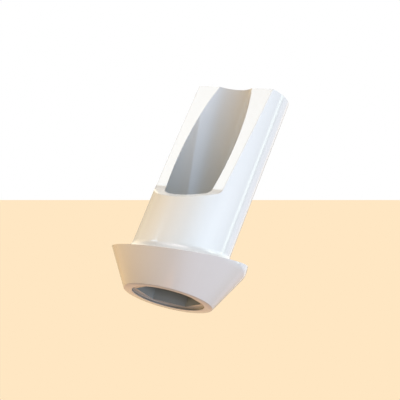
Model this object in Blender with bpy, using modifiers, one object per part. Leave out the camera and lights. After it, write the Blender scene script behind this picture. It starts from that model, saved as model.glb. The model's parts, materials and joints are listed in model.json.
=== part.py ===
"""Angled dental abutment, milled from one piece of white ceramic.

The part is symmetric about the plane x = 0. The seat that meets the implant lies in the plane
z = 0 and faces down, the implant axis is parallel to Z, the post leans towards +Y, and the
milled flat and the open side of the screw channel face -Y. All lengths are in metres.
"""

import math

import bmesh
import bpy
from mathutils import Matrix, Vector

# Seat on the implant, with its shallow recess and hexagonal socket
SEAT_RADIUS = 0.00210
SEAT_EDGE_RADIUS = 0.00004
RECESS_RADIUS = 0.00171
RECESS_DEPTH = 0.00011
HEX_ACROSS_FLATS = 0.00270
HEX_DEPTH = 0.00090

# Collar: a cone that widens into a short band, under a shoulder that slopes down to the front
COLLAR_RADIUS = 0.00320
CONE_HEIGHT = 0.00193
BAND_BLEND_RADIUS = 0.00060
SHOULDER_HEIGHT = 0.00207
SHOULDER_TILT = math.radians(10.0)
RIM_ROUNDING = 0.00006

# Post: a slim cone frustum whose axis crosses the implant axis at the shoulder
POST_LEAN = math.radians(11.7)
POST_FOOT_RADIUS = 0.00222
POST_TOP_RADIUS = 0.00220
TOP_HEIGHT = 0.01095
FOOT_FILLET = 0.00040

# Flat milled down the front of the post, and the sloping ledge at its foot
FLAT_LEAN = math.radians(16.2)
FLAT_CROSSING_HEIGHT = 0.00725
LEDGE_HEIGHT = 0.00504
LEDGE_SLOPE = math.radians(31.0)
LEDGE_FILLET = 0.00060

# Screw channel on the implant axis, stepped to seat the screw's head
CHANNEL_RADIUS = 0.00139
SCREW_SEAT_HEIGHT = 0.00220
SCREW_HOLE_RADIUS = 0.00105

# Fineness of the facets
TURN_STEPS = 144
BLEND_STEPS = 8
FILLET_STEPS = 8
ROUNDING_STEPS = 3

# How far a cutter reaches past the surface that it cuts
OVERCUT = 0.00100
# Points closer than this are one point
MERGE_DISTANCE = 0.0000002

CERAMIC_COLOUR = (0.87, 0.86, 0.83, 1.0)
CERAMIC_ROUGHNESS = 0.16
CERAMIC_IOR = 2.15
SHARP_ANGLE = math.radians(24.0)


def clear_scene():
    """Remove every object that the file opens with."""
    for obj in list(bpy.data.objects):
        bpy.data.objects.remove(obj, do_unlink=True)


def make_collection(name):
    """Make a collection in the scene."""
    group = bpy.data.collections.new(name)
    bpy.context.scene.collection.children.link(group)
    return group


def add_object(name, mesh, group):
    """Link a mesh into a collection as an object."""
    obj = bpy.data.objects.new(name, mesh)
    group.objects.link(obj)
    return obj


def mark_as_cutter(obj):
    """Show a cutter as a wire frame that never renders."""
    obj.display_type = "WIRE"
    obj.hide_render = True
    return obj


def evaluated_mesh(obj):
    """Give the mesh that an object's modifiers make."""
    graph = bpy.context.evaluated_depsgraph_get()
    graph.update()
    return bpy.data.meshes.new_from_object(obj.evaluated_get(graph))


def apply_modifiers(obj):
    """Keep what an object's modifiers make, and drop the modifiers."""
    obj.data = evaluated_mesh(obj)
    obj.modifiers.clear()


def arc(centre, radius, start, end, steps):
    """Points along an arc in a plane, from one angle to another."""
    points = []
    for i in range(steps + 1):
        angle = start + (end - start) * i / steps
        points.append((centre[0] + radius * math.cos(angle), centre[1] + radius * math.sin(angle)))
    return points


def turned(name, profile, group):
    """Turn a profile of (radius, height) points about Z; it runs down the outer side."""
    mesh = bpy.data.meshes.new(name)
    points = [(radius, 0.0, height) for radius, height in profile]
    edges = [(i, i + 1) for i in range(len(points) - 1)]
    mesh.from_pydata(points, edges, [])
    obj = add_object(name, mesh, group)
    screw = obj.modifiers.new("Turn", "SCREW")
    screw.axis = "Z"
    screw.steps = TURN_STEPS
    screw.render_steps = TURN_STEPS
    screw.use_merge_vertices = True
    screw.merge_threshold = MERGE_DISTANCE
    return obj


def boolean(obj, other, operation):
    """Cut or join an object with another."""
    modifier = obj.modifiers.new(other.name, "BOOLEAN")
    modifier.operation = operation
    modifier.solver = "EXACT"
    modifier.object = other


def side_outline_cutter(name, outline, group):
    """Extrude a closed outline of (y, z) points across the post, from side to side."""
    curve = bpy.data.curves.new(name, "CURVE")
    curve.dimensions = "2D"
    curve.fill_mode = "BOTH"
    curve.extrude = COLLAR_RADIUS + OVERCUT
    spline = curve.splines.new("POLY")
    spline.points.add(len(outline) - 1)
    for point, (y, z) in zip(spline.points, outline):
        point.co = (y, z, 0.0, 1.0)
    spline.use_cyclic_u = True
    drawn = add_object(name + "_outline", curve, group)
    mesh = evaluated_mesh(drawn)
    bpy.data.objects.remove(drawn, do_unlink=True)
    mesh.transform(Matrix(((0, 0, 1, 0), (1, 0, 0, 0), (0, 1, 0, 0), (0, 0, 0, 1))))
    bm = bmesh.new()
    bm.from_mesh(mesh)
    bmesh.ops.remove_doubles(bm, verts=bm.verts, dist=MERGE_DISTANCE)
    bmesh.ops.recalc_face_normals(bm, faces=bm.faces)
    bm.to_mesh(mesh)
    bm.free()
    return mark_as_cutter(add_object(name, mesh, group))


def shoulder_normal():
    """The direction that the shoulder faces."""
    return Vector((0.0, -math.sin(SHOULDER_TILT), math.cos(SHOULDER_TILT)))


def collar_profile():
    """The collar's outer side, from above the shoulder down to the seat."""
    blank_top = SHOULDER_HEIGHT + COLLAR_RADIUS * math.tan(SHOULDER_TILT) + OVERCUT
    cone_angle = math.atan2(COLLAR_RADIUS - SEAT_RADIUS, CONE_HEIGHT)
    blend_reach = BAND_BLEND_RADIUS * math.tan(cone_angle / 2)
    blend_centre = (COLLAR_RADIUS - BAND_BLEND_RADIUS, CONE_HEIGHT + blend_reach)
    blend = arc(blend_centre, BAND_BLEND_RADIUS, 0.0, -cone_angle, BLEND_STEPS)

    edge_reach = SEAT_EDGE_RADIUS * math.tan((math.pi / 2 - cone_angle) / 2)
    edge_centre = (SEAT_RADIUS - edge_reach, SEAT_EDGE_RADIUS)
    edge = arc(edge_centre, SEAT_EDGE_RADIUS, -cone_angle, -math.pi / 2, ROUNDING_STEPS)
    return [(0.0, blank_top), (COLLAR_RADIUS, blank_top), *blend, *edge, (0.0, 0.0)]


def make_shoulder_cutter(group):
    """A block whose lower face is the plane of the shoulder."""
    size = 4 * COLLAR_RADIUS
    bm = bmesh.new()
    bmesh.ops.create_cube(bm, size=size)
    tilt = Matrix.Rotation(SHOULDER_TILT, 4, "X")
    lift = Matrix.Translation((0.0, 0.0, size / 2))
    place = Matrix.Translation((0.0, 0.0, SHOULDER_HEIGHT)) @ tilt @ lift
    bmesh.ops.transform(bm, matrix=place, verts=bm.verts)
    mesh = bpy.data.meshes.new("shoulder_cutter")
    bm.to_mesh(mesh)
    bm.free()
    return mark_as_cutter(add_object("shoulder_cutter", mesh, group))


def make_post_blank(group):
    """The post's leaning cone frustum, from inside the collar to past its top."""
    length = (TOP_HEIGHT - SHOULDER_HEIGHT) / math.cos(POST_LEAN)
    taper = (POST_FOOT_RADIUS - POST_TOP_RADIUS) / length
    root = OVERCUT
    reach = length + OVERCUT + POST_TOP_RADIUS * math.tan(POST_LEAN)
    bm = bmesh.new()
    bmesh.ops.create_cone(
        bm,
        cap_ends=True,
        segments=TURN_STEPS,
        radius1=POST_FOOT_RADIUS + taper * root,
        radius2=POST_FOOT_RADIUS - taper * reach,
        depth=root + reach,
    )
    lift = Matrix.Translation((0.0, 0.0, (reach - root) / 2))
    lean = Matrix.Rotation(-POST_LEAN, 4, "X")
    place = Matrix.Translation((0.0, 0.0, SHOULDER_HEIGHT)) @ lean @ lift
    bmesh.ops.transform(bm, matrix=place, verts=bm.verts)
    mesh = bpy.data.meshes.new("post_blank")
    bm.to_mesh(mesh)
    bm.free()
    return mark_as_cutter(add_object("post_blank", mesh, group))


def make_body(group, cutters):
    """Turn the collar, slope its shoulder, round its rim and join the post to it."""
    body = turned("abutment", collar_profile(), group)
    boolean(body, make_shoulder_cutter(cutters), "DIFFERENCE")
    apply_modifiers(body)
    round_rim(body)
    boolean(body, make_post_blank(cutters), "UNION")
    apply_modifiers(body)
    fillet_foot(body)
    return body


def on_shoulder(face):
    """Whether a face lies in the plane of the shoulder."""
    return face.normal.dot(shoulder_normal()) > math.cos(math.radians(1.0))


def bevel_loop(obj, pick, width, steps):
    """Round the edges of a mesh that a test picks."""
    bm = bmesh.new()
    bm.from_mesh(obj.data)
    bm.normal_update()
    edges = [edge for edge in bm.edges if pick(edge)]
    bmesh.ops.bevel(
        bm,
        geom=edges,
        offset=width,
        offset_type="OFFSET",
        segments=steps,
        profile=0.5,
        affect="EDGES",
        clamp_overlap=True,
    )
    bm.to_mesh(obj.data)
    bm.free()


def round_rim(body):
    """Round the collar's upper edge, where the shoulder meets its side."""
    def is_rim(edge):
        if len(edge.link_faces) != 2:
            return False
        return sum(on_shoulder(face) for face in edge.link_faces) == 1
    bevel_loop(body, is_rim, RIM_ROUNDING, ROUNDING_STEPS)


def fillet_foot(body):
    """Run a concave fillet round the foot of the post."""
    def is_foot(edge):
        if len(edge.link_faces) != 2 or edge.is_convex:
            return False
        return sum(on_shoulder(face) for face in edge.link_faces) == 1
    bevel_loop(body, is_foot, FOOT_FILLET, FILLET_STEPS)


def flat_outline():
    """Outline in (y, z) of what the mill takes off the post's front: the flat, fillet and ledge."""
    flat_direction = Vector((math.sin(FLAT_LEAN), math.cos(FLAT_LEAN)))
    ledge_direction = Vector((-math.cos(LEDGE_SLOPE), -math.sin(LEDGE_SLOPE)))
    corner_y = (LEDGE_HEIGHT - FLAT_CROSSING_HEIGHT) * math.tan(FLAT_LEAN)
    corner = Vector((corner_y, LEDGE_HEIGHT))

    between = flat_direction.angle(ledge_direction)
    reach = LEDGE_FILLET / math.tan(between / 2)
    bisector = (flat_direction + ledge_direction).normalized()
    centre = corner + bisector * (LEDGE_FILLET / math.sin(between / 2))
    on_flat = corner + flat_direction * reach - centre
    on_ledge = corner + ledge_direction * reach - centre
    start = math.atan2(on_flat.y, on_flat.x)
    end = math.atan2(on_ledge.y, on_ledge.x)
    if end > start:
        end -= 2 * math.pi
    fillet = arc(centre, LEDGE_FILLET, start, end, FILLET_STEPS)

    above = TOP_HEIGHT + 2 * OVERCUT
    outside = -(COLLAR_RADIUS + OVERCUT)
    flat_top = ((above - FLAT_CROSSING_HEIGHT) * math.tan(FLAT_LEAN), above)
    ledge_end = (outside, LEDGE_HEIGHT - (corner_y - outside) * math.tan(LEDGE_SLOPE))
    return [flat_top, *fillet, ledge_end, (outside, above)]


def top_outline():
    """Outline in (y, z) of what is cut off above the post's level top."""
    back = TOP_HEIGHT * math.tan(POST_LEAN) + 2 * POST_TOP_RADIUS
    front = -(COLLAR_RADIUS + OVERCUT)
    above = TOP_HEIGHT + 3 * OVERCUT
    return [(front, TOP_HEIGHT), (back, TOP_HEIGHT), (back, above), (front, above)]


def make_channel_cutter(group):
    """The screw's way through the part: a wide channel, a step for its head and a hole."""
    above = TOP_HEIGHT + 2 * OVERCUT
    socket_ceiling = RECESS_DEPTH + HEX_DEPTH
    profile = [
        (0.0, above),
        (CHANNEL_RADIUS, above),
        (CHANNEL_RADIUS, SCREW_SEAT_HEIGHT),
        (SCREW_HOLE_RADIUS, SCREW_SEAT_HEIGHT),
        (SCREW_HOLE_RADIUS, socket_ceiling / 2),
        (0.0, socket_ceiling / 2),
    ]
    return mark_as_cutter(turned("channel_cutter", profile, group))


def make_recess_cutter(group):
    """The shallow round recess inside the seat."""
    profile = [
        (0.0, RECESS_DEPTH),
        (RECESS_RADIUS, RECESS_DEPTH),
        (RECESS_RADIUS, -OVERCUT),
        (0.0, -OVERCUT),
    ]
    return mark_as_cutter(turned("recess_cutter", profile, group))


def make_hex_cutter(group):
    """The hexagonal socket, with corners to the front and the back."""
    ceiling = RECESS_DEPTH + HEX_DEPTH
    bm = bmesh.new()
    corner_radius = HEX_ACROSS_FLATS / math.sqrt(3)
    bmesh.ops.create_cone(
        bm,
        cap_ends=True,
        segments=6,
        radius1=corner_radius,
        radius2=corner_radius,
        depth=ceiling + OVERCUT,
    )
    first = bm.verts[:][0].co
    turn = math.pi / 2 - math.atan2(first.y, first.x)
    place = Matrix.Translation((0.0, 0.0, (ceiling - OVERCUT) / 2)) @ Matrix.Rotation(turn, 4, "Z")
    bmesh.ops.transform(bm, matrix=place, verts=bm.verts)
    mesh = bpy.data.meshes.new("hex_cutter")
    bm.to_mesh(mesh)
    bm.free()
    return mark_as_cutter(add_object("hex_cutter", mesh, group))


def ceramic():
    """Glossy white zirconia."""
    material = bpy.data.materials.new("white_ceramic")
    material.use_nodes = True
    shader = material.node_tree.nodes["Principled BSDF"]
    shader.inputs["Base Color"].default_value = CERAMIC_COLOUR
    shader.inputs["Roughness"].default_value = CERAMIC_ROUGHNESS
    shader.inputs["Metallic"].default_value = 0.0
    shader.inputs["IOR"].default_value = CERAMIC_IOR
    material.diffuse_color = CERAMIC_COLOUR
    return material


def outline_middle():
    """The middle, along Y, between the collar's front and the back edge of the post's top."""
    spread = (COLLAR_RADIUS - SEAT_RADIUS) / CONE_HEIGHT
    slope = math.tan(SHOULDER_TILT)
    rim_radius = (SEAT_RADIUS + spread * SHOULDER_HEIGHT) / (1 + spread * slope)
    front = -min(rim_radius, COLLAR_RADIUS)
    top_centre = (TOP_HEIGHT - SHOULDER_HEIGHT) * math.tan(POST_LEAN)
    back = top_centre + POST_TOP_RADIUS / math.cos(POST_LEAN)
    return (front + back) / 2


def centre_on_origin(body):
    """Move the part so that the origin lies under the middle of its outline."""
    body.data.transform(Matrix.Translation((0.0, -outline_middle(), 0.0)))


def main():
    clear_scene()
    parts = make_collection("dental_abutment")
    cutters = make_collection("cutters")

    body = make_body(parts, cutters)
    boolean(body, side_outline_cutter("flat_cutter", flat_outline(), cutters), "DIFFERENCE")
    boolean(body, side_outline_cutter("top_cutter", top_outline(), cutters), "DIFFERENCE")
    boolean(body, make_channel_cutter(cutters), "DIFFERENCE")
    boolean(body, make_recess_cutter(cutters), "DIFFERENCE")
    boolean(body, make_hex_cutter(cutters), "DIFFERENCE")
    apply_modifiers(body)
    centre_on_origin(body)

    body.data.materials.clear()
    body.data.materials.append(ceramic())
    body.data.shade_smooth()
    body.data.set_sharp_from_angle(angle=SHARP_ANGLE)


main()
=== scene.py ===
"""Studio scene for a one-piece angled dental abutment of polished white zirconia."""
import json
import math

import bmesh
import bpy
from mathutils import Matrix, Vector


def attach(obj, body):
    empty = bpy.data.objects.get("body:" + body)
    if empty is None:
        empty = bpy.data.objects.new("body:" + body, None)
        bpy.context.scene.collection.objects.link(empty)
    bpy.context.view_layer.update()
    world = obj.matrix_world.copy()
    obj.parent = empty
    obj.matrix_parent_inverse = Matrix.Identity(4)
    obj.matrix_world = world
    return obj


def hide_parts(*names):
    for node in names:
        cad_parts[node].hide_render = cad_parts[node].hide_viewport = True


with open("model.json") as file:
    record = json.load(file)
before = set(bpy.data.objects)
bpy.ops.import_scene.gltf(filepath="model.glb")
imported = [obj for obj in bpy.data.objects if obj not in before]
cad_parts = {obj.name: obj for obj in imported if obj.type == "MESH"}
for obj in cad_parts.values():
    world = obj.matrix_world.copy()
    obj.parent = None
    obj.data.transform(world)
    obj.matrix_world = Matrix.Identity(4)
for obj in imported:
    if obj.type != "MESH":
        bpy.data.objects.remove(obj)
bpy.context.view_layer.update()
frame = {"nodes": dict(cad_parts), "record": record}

NODE = "abutment"

# Surface finishing of the solid, in metres and radians
WELD_DISTANCE = 2e-7
COPLANAR_ANGLE = math.radians(0.3)
EDGE_ANGLE = math.radians(25.0)
EDGE_ROUNDING = 0.00003
EDGE_STEPS = 3
EDGE_PROFILE = 0.5
SMOOTH_ANGLE = math.radians(14.0)
SAME_ANGLE = math.radians(0.4)
NEIGHBOUR_ANGLE = math.radians(60.0)

# The implant axis is parallel to Z and passes through the middle of the seat
SEAT = {mount["name"]: mount for mount in frame["record"]["mounts"]}["implant_seat"]
AXIS_Y = SEAT["pos_m"][1]

# Zones of the finish, in metres and radians: the outside is polished; the post's cut faces are
# painted whiter, as painted light;
# and the channel, the recess and the socket are left as milled, rougher and marked, and are
# painted darker as painted shade
POST_LEAN = math.radians(11.7)
POST_FOOT_HEIGHT = 0.00207
POST_FACE_RADIUS = 0.00214
CUT_BOTTOM = 0.0038
CUT_TOP = 0.01092
CHANNEL_RADIUS = 0.00140
RECESS_RADIUS = 0.00173
RECESS_DEPTH = 0.00011
SOCKET_TOP = 0.00105
# Painted shade in the socket: it darkens from SOCKET_SHADE_START up to SOCKET_SHADE_END
SOCKET_SHADE_START = 0.0003
SOCKET_SHADE_END = 0.0007
ZONE_BLEND = 0.00003
# Painted shade in the channel: its colour darkens from BORE_SHADE_START down to BORE_SHADE_END
BORE_SHADE_START = 0.0112
BORE_SHADE_END = 0.0045

# Zirconia: colours from 0 to 1, and sizes and heights in metres
ZIRCONIA_IOR = 2.1
BODY_LIGHT = (0.81, 0.80, 0.785)
BODY_DARK = (0.79, 0.78, 0.760)
# Painted light: the post's cut faces get a whiter colour than the body to stand in for the light
# on them
CUT_FACE_PAINTED_LIGHT = (0.905, 0.90, 0.885)
# Painted shade: the channel's colour at the bottom of its painted shade
BORE_PAINTED_SHADE = (0.58, 0.60, 0.60)
# Painted shade: the recess and the hex socket are coloured dark grey, darker deeper in, for the
# shade in them
RECESS_WALL_PAINTED_SHADE = (0.23, 0.235, 0.215)
RECESS_FLOOR_PAINTED_SHADE = (0.54, 0.51, 0.47)
SOCKET_PAINTED_SHADE = (0.39, 0.425, 0.42)
SOCKET_DEEP_PAINTED_SHADE = (0.20, 0.21, 0.19)
CLOUD_SIZE = 0.0012
CLOUD_DETAIL = 3.0
POLISHED_ROUGHNESS = (0.145, 0.175)
MILLED_ROUGHNESS = 0.15
GRAIN_SIZE = 0.00006
GRAIN_DETAIL = 2.0
GRAIN_RANGE = (0.3, 0.7)
GRAIN_HEIGHT = 1.5e-7
MARK_SPACING = 0.00011
MARK_HEIGHT = 2e-7

# Camera, at the photograph's viewing angle, in metres and radians, with its lens and sensor in
# millimetres
CAMERA_AZIMUTH = math.radians(34.16)
CAMERA_ELEVATION = math.radians(-15.27)
CAMERA_ROLL = math.radians(14.52)
CAMERA_DISTANCE = 0.1046
CAMERA_TARGET = Vector((-0.00011, 0.00013, 0.00508))
CAMERA_LENS = 201.8
CAMERA_SENSOR = 36.0
CAMERA_NEAR = 0.001
CAMERA_FAR = 10.0

# Studio: each softbox by its azimuth, elevation, width and height in degrees as the part sees it,
# then its colour and brightness, where 1 is white
STUDIO_CENTRE = Vector((0.0, 0.0, 0.005))
SOFTBOX_DISTANCE = 1.0
SOFTBOXES = {
    "key": (-46, 42, 16, 8, (1.35, 1.9, 2.5)),
    "foot_light": (29, 65, 24, 10, (1.6, 1.45, 1.4)),
    "back_light": (124, 50, 24, 12, (1.8, 2.1, 2.0)),
    "right_panel": (112, 26, 50, 24, (0.15, 0.16, 0.18)),
    "right_strip": (146, 17, 8, 26, (1.35, 1.55, 1.35)),
    "right_edge": (170, 15, 25, 24, (0.7, 0.7, 0.77)),
    "back_strip": (-169, 15, 16, 24, (0.95, 0.87, 0.84)),
    "low_edge": (178, -5, 22, 14, (0.18, 0.18, 0.26)),
    "left_edge": (-120, 17, 50, 26, (0.4, 0.35, 0.25)),
    "seat_glow": (-145, -15, 30, 12, (0.14, 0.0, 0.0)),
    "floor_glow": (0, -75, 40, 40, (0.6, 0.22, 0.0)),
}

# Soft bands and pools of light round the room: the azimuth and elevation of the axis, how far
# along it the light is strongest, its half width there, and its colours on the left and the right.
# SIDE is the azimuth and elevation of the right
SIDE = (110, 0)
BANDS = {
    "upper": (0, 90, 0.56, 0.2, (1.99, 1.53, 0.9), (1.33, 1.62, 1.79)),
    "lower": (32, 68, -0.442, 0.22, (1.73, 1.22, 0.67), (0.0, 0.0, 0.0)),
    "zenith": (0, 90, 1.0, 0.16, (0.4, 0.4, 0.45), (0.4, 0.4, 0.45)),
    "front_top": (-5, 66, 1.0, 0.07, (1.3, 1.2, 1.15), (1.3, 1.2, 1.15)),
    "right_low": (100, -20, 1.0, 0.5, (0.78, 0.75, 0.78), (0.78, 0.75, 0.78)),
    "right_fill": (60, -6, 1.0, 0.24, (0.14, 0.34, 0.64), (0.14, 0.34, 0.64)),
}

# Backdrops: a floor below the part, and two cards behind it as the photograph's camera sees it
WHITE = (1.0, 1.0, 1.0, 1.0)
BEIGE = (1.0, 0.799, 0.546, 1.0)
FLOOR_COLOUR = (0.93, 0.76, 0.53, 1.0)
FLOOR_ROUGHNESS = 0.9
FLOOR_HEIGHT = -0.03
FLOOR_REACH = 1.5
CARD_DISTANCE = 0.3
CARD_REACH = 0.06

# Places of a Mix node's sockets while it mixes colours
MIX_AMOUNT, MIX_FIRST, MIX_SECOND, MIX_RESULT = 0, 6, 7, 2


def direction(azimuth, elevation):
    """Unit vector towards a place round the part; azimuth 0 is its front, -Y."""
    return Vector((
        math.sin(azimuth) * math.cos(elevation),
        -math.cos(azimuth) * math.cos(elevation),
        math.sin(elevation),
    ))


def welded_solid(source):
    """The solid's mesh with shared corners and one face for each flat stretch."""
    solid = bmesh.new()
    solid.from_mesh(source)
    bmesh.ops.remove_doubles(solid, verts=solid.verts, dist=WELD_DISTANCE)
    bmesh.ops.dissolve_limit(
        solid, angle_limit=COPLANAR_ANGLE, verts=solid.verts, edges=solid.edges,
    )
    solid.normal_update()
    return solid


def round_edges(solid):
    """Round every sharp edge a little and return the small faces that do it."""
    sharp = [
        edge for edge in solid.edges
        if len(edge.link_faces) == 2 and edge.calc_face_angle() > EDGE_ANGLE
    ]
    result = bmesh.ops.bevel(
        solid,
        geom=sharp,
        offset=EDGE_ROUNDING,
        offset_type="OFFSET",
        segments=EDGE_STEPS,
        profile=EDGE_PROFILE,
        affect="EDGES",
        clamp_overlap=True,
    )
    solid.normal_update()
    return set(result["faces"])


def main_normal(vert, face, rounding):
    """Mean direction of the main faces round a corner that run on from one of them."""
    found = []
    for near in vert.link_faces:
        if near in rounding or near.normal.dot(face.normal) < math.cos(SMOOTH_ANGLE):
            continue
        if all(near.normal.dot(other) < math.cos(SAME_ANGLE) for other in found):
            found.append(near.normal)
    return sum(found, Vector()).normalized() if found else face.normal.copy()


def corner_normal(loop, rounding):
    """Shading direction at a face's corner, so that round surfaces reflect as round ones."""
    face = loop.face
    if face not in rounding:
        return main_normal(loop.vert, face, rounding)
    main = [near for near in loop.vert.link_faces if near not in rounding]
    if main:
        nearest = max(main, key=lambda near: near.normal.dot(face.normal))
        if nearest.normal.dot(face.normal) > math.cos(NEIGHBOUR_ANGLE):
            return main_normal(loop.vert, nearest, rounding)
    weighted = [corner.face.normal * corner.calc_angle() for corner in loop.vert.link_loops]
    return sum(weighted, Vector()).normalized()


def make_polished_part():
    """The part's visible surface: its solid with rounded edges and smooth shading."""
    solid = welded_solid(frame["nodes"][NODE].data)
    rounding = round_edges(solid)
    normals = [corner_normal(loop, rounding)[:] for face in solid.faces for loop in face.loops]
    mesh = bpy.data.meshes.new("polished_abutment")
    solid.to_mesh(mesh)
    solid.free()
    mesh.shade_smooth()
    mesh.normals_split_custom_set(normals)
    mesh.materials.append(zirconia())
    piece = bpy.data.objects.new("polished_abutment", mesh)
    bpy.context.scene.collection.objects.link(piece)
    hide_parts(NODE)
    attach(piece, "root")


def feed(tree, slot, value):
    """Put a number, a vector or another node's output into a node's input."""
    if isinstance(value, bpy.types.NodeSocket):
        tree.links.new(value, slot)
    else:
        slot.default_value = value


def calculate(tree, operation, *values):
    """One Math node."""
    node = tree.nodes.new("ShaderNodeMath")
    node.operation = operation
    for slot, value in zip(node.inputs, values):
        feed(tree, slot, value)
    return node.outputs["Value"]


def calculate_vector(tree, operation, *values):
    """One Vector Math node."""
    node = tree.nodes.new("ShaderNodeVectorMath")
    node.operation = operation
    for slot, value in zip(node.inputs, values):
        feed(tree, slot, value)
    return node.outputs["Value" if operation in ("DOT_PRODUCT", "LENGTH") else "Vector"]


def blend(tree, amount, first, second):
    """Mix two colours, each of which is a colour or another node's output."""
    node = tree.nodes.new("ShaderNodeMix")
    node.data_type = "RGBA"
    feed(tree, node.inputs[MIX_AMOUNT], amount)
    for number, value in ((MIX_FIRST, first), (MIX_SECOND, second)):
        feed(tree, node.inputs[number], (*value, 1.0) if isinstance(value, tuple) else value)
    return node.outputs[MIX_RESULT]


def spread(tree, value, start, end, first=0.0, last=1.0):
    """One value up to the start, another from the end on, and an even change between them."""
    node = tree.nodes.new("ShaderNodeMapRange")
    node.clamp = True
    node.inputs["From Min"].default_value = start
    node.inputs["From Max"].default_value = end
    feed(tree, node.inputs["To Min"], first)
    feed(tree, node.inputs["To Max"], last)
    feed(tree, node.inputs["Value"], value)
    return node.outputs["Result"]


def noise(tree, place, size, detail):
    """Smooth random values round 0.5, in patches of about the given size."""
    node = tree.nodes.new("ShaderNodeTexNoise")
    node.inputs["Scale"].default_value = 1.0 / size
    node.inputs["Detail"].default_value = detail
    tree.links.new(place, node.inputs["Vector"])
    return node.outputs["Fac"]


def zirconia():
    """White zirconia, polished outside and rougher with fine marks where it is left as milled,
    with painted light on the post's cut faces and painted shade in the channel and the socket.
    """
    material = bpy.data.materials.new("zirconia")
    material.use_nodes = True
    tree = material.node_tree
    shader = tree.nodes["Principled BSDF"]
    shader.inputs["IOR"].default_value = ZIRCONIA_IOR

    place = tree.nodes.new("ShaderNodeTexCoord").outputs["Object"]
    from_axis = calculate_vector(tree, "MULTIPLY_ADD", place, (1.0, 1.0, 0.0), (0.0, -AXIS_Y, 0.0))
    radius = calculate_vector(tree, "LENGTH", from_axis)
    height = calculate_vector(tree, "DOT_PRODUCT", place, (0.0, 0.0, 1.0))

    from_foot = calculate_vector(tree, "SUBTRACT", place, (0.0, AXIS_Y, POST_FOOT_HEIGHT))
    lean = (0.0, math.sin(POST_LEAN), math.cos(POST_LEAN))
    from_lean = calculate_vector(tree, "CROSS_PRODUCT", from_foot, lean)
    post_radius = calculate_vector(tree, "LENGTH", from_lean)
    inside_post = spread(tree, post_radius, POST_FACE_RADIUS + ZONE_BLEND, POST_FACE_RADIUS)
    above_foot = spread(tree, height, CUT_BOTTOM, CUT_BOTTOM + ZONE_BLEND)
    below_top = spread(tree, height, CUT_TOP + ZONE_BLEND, CUT_TOP)
    along_post = calculate(tree, "MULTIPLY", above_foot, below_top)
    cut_face_painted_light = calculate(tree, "MULTIPLY", inside_post, along_post)

    in_bore = spread(tree, radius, CHANNEL_RADIUS + ZONE_BLEND, CHANNEL_RADIUS)
    in_recess = spread(tree, radius, RECESS_RADIUS + ZONE_BLEND, RECESS_RADIUS)
    above_seat = spread(tree, height, 0.0, ZONE_BLEND)
    below_hole = spread(tree, height, SOCKET_TOP + ZONE_BLEND, SOCKET_TOP)
    along_socket = calculate(tree, "MULTIPLY", above_seat, below_hole)
    in_socket = calculate(tree, "MULTIPLY", in_recess, along_socket)
    # Painted shade: the channel grows darker further down
    bore_shade_depth = spread(tree, height, BORE_SHADE_START, BORE_SHADE_END)
    painted_bore_shade = calculate(tree, "MULTIPLY", in_bore, bore_shade_depth)
    milled = calculate(tree, "MAXIMUM", in_bore, in_socket)

    body = blend(tree, noise(tree, place, CLOUD_SIZE, CLOUD_DETAIL), BODY_DARK, BODY_LIGHT)
    # Painted light: the post's cut faces take the whiter colour
    colour = blend(tree, cut_face_painted_light, body, CUT_FACE_PAINTED_LIGHT)
    colour = blend(tree, in_bore, colour, body)
    colour = blend(tree, painted_bore_shade, colour, BORE_PAINTED_SHADE)
    # Painted shade: the recess wall, the recess floor and the socket are dark, and the socket is
    # darker deeper in
    socket_shade_depth = spread(tree, height, SOCKET_SHADE_START, SOCKET_SHADE_END)
    socket_painted_shade = blend(tree, socket_shade_depth, SOCKET_PAINTED_SHADE, SOCKET_DEEP_PAINTED_SHADE)
    above_recess = spread(tree, height, RECESS_DEPTH, RECESS_DEPTH + ZONE_BLEND)
    socket_painted_shade = blend(tree, above_recess, RECESS_FLOOR_PAINTED_SHADE, socket_painted_shade)
    below_recess = spread(tree, height, RECESS_DEPTH, RECESS_DEPTH - ZONE_BLEND)
    socket_painted_shade = blend(tree, below_recess, socket_painted_shade, RECESS_WALL_PAINTED_SHADE)
    colour = blend(tree, in_socket, colour, socket_painted_shade)
    tree.links.new(colour, shader.inputs["Base Color"])

    grain = noise(tree, place, GRAIN_SIZE, GRAIN_DETAIL)
    polished = spread(tree, grain, *GRAIN_RANGE, *POLISHED_ROUGHNESS)
    roughness = spread(tree, milled, 0.0, 1.0, polished, MILLED_ROUGHNESS)
    tree.links.new(roughness, shader.inputs["Roughness"])

    marks = calculate(tree, "SINE", calculate(tree, "MULTIPLY", height, math.tau / MARK_SPACING))
    marks = calculate(tree, "MULTIPLY", calculate(tree, "MULTIPLY", marks, milled), MARK_HEIGHT)
    relief = calculate(tree, "MULTIPLY_ADD", grain, GRAIN_HEIGHT, marks)
    bump = tree.nodes.new("ShaderNodeBump")
    bump.inputs["Distance"].default_value = 1.0
    tree.links.new(relief, bump.inputs["Height"])
    tree.links.new(bump.outputs["Normal"], shader.inputs["Normal"])
    return material


def add_camera():
    """The photograph's camera."""
    back = direction(CAMERA_AZIMUTH, CAMERA_ELEVATION)
    data = bpy.data.cameras.new("camera")
    data.lens = CAMERA_LENS
    data.sensor_width = CAMERA_SENSOR
    data.clip_start = CAMERA_NEAR
    data.clip_end = CAMERA_FAR
    camera = bpy.data.objects.new("camera", data)
    bpy.context.scene.collection.objects.link(camera)
    level = (-back).to_track_quat("-Z", "Y")
    roll = Matrix.Rotation(CAMERA_ROLL, 3, "Z").to_quaternion()
    camera.rotation_mode = "QUATERNION"
    camera.rotation_quaternion = level @ roll
    camera.location = CAMERA_TARGET + back * CAMERA_DISTANCE
    bpy.context.scene.camera = camera
    return camera


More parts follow.
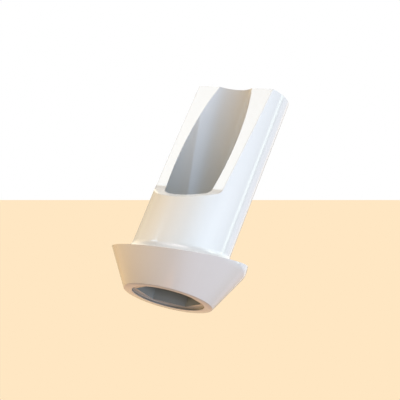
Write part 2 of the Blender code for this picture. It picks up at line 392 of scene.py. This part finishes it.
def add_softbox(name, azimuth, elevation, width, height, light):
    """A flat lamp that fills the named angles as seen from the part and gives one brightness."""
    outward = direction(math.radians(azimuth), math.radians(elevation))
    data = bpy.data.lights.new(name, "AREA")
    data.shape = "RECTANGLE"
    data.size = 2.0 * SOFTBOX_DISTANCE * math.tan(math.radians(width) / 2.0)
    data.size_y = 2.0 * SOFTBOX_DISTANCE * math.tan(math.radians(height) / 2.0)
    brightness = max(light)
    data.color = [value / brightness for value in light]
    data.energy = brightness * math.pi * data.size * data.size_y
    lamp = bpy.data.objects.new(name, data)
    bpy.context.scene.collection.objects.link(lamp)
    lamp.location = STUDIO_CENTRE + outward * SOFTBOX_DISTANCE
    lamp.rotation_mode = "QUATERNION"
    lamp.rotation_quaternion = outward.to_track_quat("Z", "Y")
    lamp.visible_camera = False


def dot_with(tree, place, azimuth, elevation):
    """How far a place in the room lies along a direction."""
    along = direction(math.radians(azimuth), math.radians(elevation))
    return calculate_vector(tree, "DOT_PRODUCT", place, along)


def add_band(tree, place, side, total, azimuth, elevation, offset, half_width, left, right):
    """Add one soft band of light to the room and return the new total."""
    along = dot_with(tree, place, azimuth, elevation)
    away = calculate(tree, "DIVIDE", calculate(tree, "SUBTRACT", along, offset), half_width)
    fall = calculate(tree, "MULTIPLY", calculate(tree, "MULTIPLY", away, away), -1.0)
    amount = calculate(tree, "EXPONENT", fall)
    change = [there - here for here, there in zip(left, right)]
    colour = calculate_vector(tree, "MULTIPLY_ADD", side, change, left)
    return calculate_vector(tree, "MULTIPLY_ADD", amount, colour, total)


def add_world():
    """A room with soft bands of light, and a plain white background for the camera."""
    world = bpy.data.worlds.new("studio")
    bpy.context.scene.world = world
    world.use_nodes = True
    tree = world.node_tree
    nodes, links = tree.nodes, tree.links
    place = nodes.new("ShaderNodeTexCoord").outputs["Generated"]
    side = calculate(tree, "MULTIPLY_ADD", dot_with(tree, place, *SIDE), 0.5, 0.5)
    total = (0.0, 0.0, 0.0)
    for values in BANDS.values():
        total = add_band(tree, place, side, total, *values)
    room = nodes["Background"]
    links.new(total, room.inputs["Color"])
    room.inputs["Strength"].default_value = 1.0
    backdrop = nodes.new("ShaderNodeBackground")
    backdrop.inputs["Color"].default_value = WHITE
    backdrop.inputs["Strength"].default_value = 1.0
    path = nodes.new("ShaderNodeLightPath")
    seen = nodes.new("ShaderNodeMixShader")
    links.new(path.outputs["Is Camera Ray"], seen.inputs["Fac"])
    links.new(room.outputs["Background"], seen.inputs[1])
    links.new(backdrop.outputs["Background"], seen.inputs[2])
    links.new(seen.outputs["Shader"], nodes["World Output"].inputs["Surface"])


def only_for_camera(obj):
    """Show a backdrop to the camera and keep it out of the part's light."""
    obj.visible_diffuse = False
    obj.visible_glossy = False
    obj.visible_transmission = False
    obj.visible_volume_scatter = False
    obj.visible_shadow = False


def add_plane(name, corners, material):
    """One flat backdrop."""
    mesh = bpy.data.meshes.new(name)
    mesh.from_pydata(corners, [], [(0, 1, 2, 3)])
    mesh.materials.append(material)
    plane = bpy.data.objects.new(name, mesh)
    bpy.context.scene.collection.objects.link(plane)
    only_for_camera(plane)


def plain_colour(name, colour):
    """A backdrop colour that shows as it is written."""
    material = bpy.data.materials.new(name)
    material.use_nodes = True
    nodes, links = material.node_tree.nodes, material.node_tree.links
    nodes.remove(nodes["Principled BSDF"])
    glow = nodes.new("ShaderNodeEmission")
    glow.inputs["Color"].default_value = colour
    links.new(glow.outputs["Emission"], nodes["Material Output"].inputs["Surface"])
    return material


def floor_paint():
    """The floor's matt colour."""
    material = bpy.data.materials.new("floor")
    material.use_nodes = True
    shader = material.node_tree.nodes["Principled BSDF"]
    shader.inputs["Base Color"].default_value = FLOOR_COLOUR
    shader.inputs["Roughness"].default_value = FLOOR_ROUGHNESS
    shader.inputs["Specular IOR Level"].default_value = 0.0
    return material


def add_floor():
    """A level pale floor, so far below the floating part that its shadow there can't be seen."""
    reach, level = FLOOR_REACH, FLOOR_HEIGHT
    corners = [
        (-reach, -reach, level),
        (reach, -reach, level),
        (reach, reach, level),
        (-reach, reach, level),
    ]
    add_plane("floor", corners, floor_paint())


def add_cards(camera):
    """A white card above the photograph's middle line and a beige one below it."""
    turn = camera.rotation_quaternion
    across = turn @ Vector((CARD_REACH, 0.0, 0.0))
    up = turn @ Vector((0.0, CARD_REACH, 0.0))
    back = turn @ Vector((0.0, 0.0, 1.0))
    middle = camera.location - back * (CAMERA_DISTANCE + CARD_DISTANCE)
    left, right = middle - across, middle + across
    cards = {
        "white_card": (WHITE, [left, right, right + up, left + up]),
        "beige_card": (BEIGE, [left - up, right - up, right, left]),
    }
    for name, (colour, corners) in cards.items():
        add_plane(name, corners, plain_colour(name, colour))


add_world()
for name, values in SOFTBOXES.items():
    add_softbox(name, *values)
add_floor()
add_cards(add_camera())
make_polished_part()
bpy.context.scene.view_settings.view_transform = "Standard"
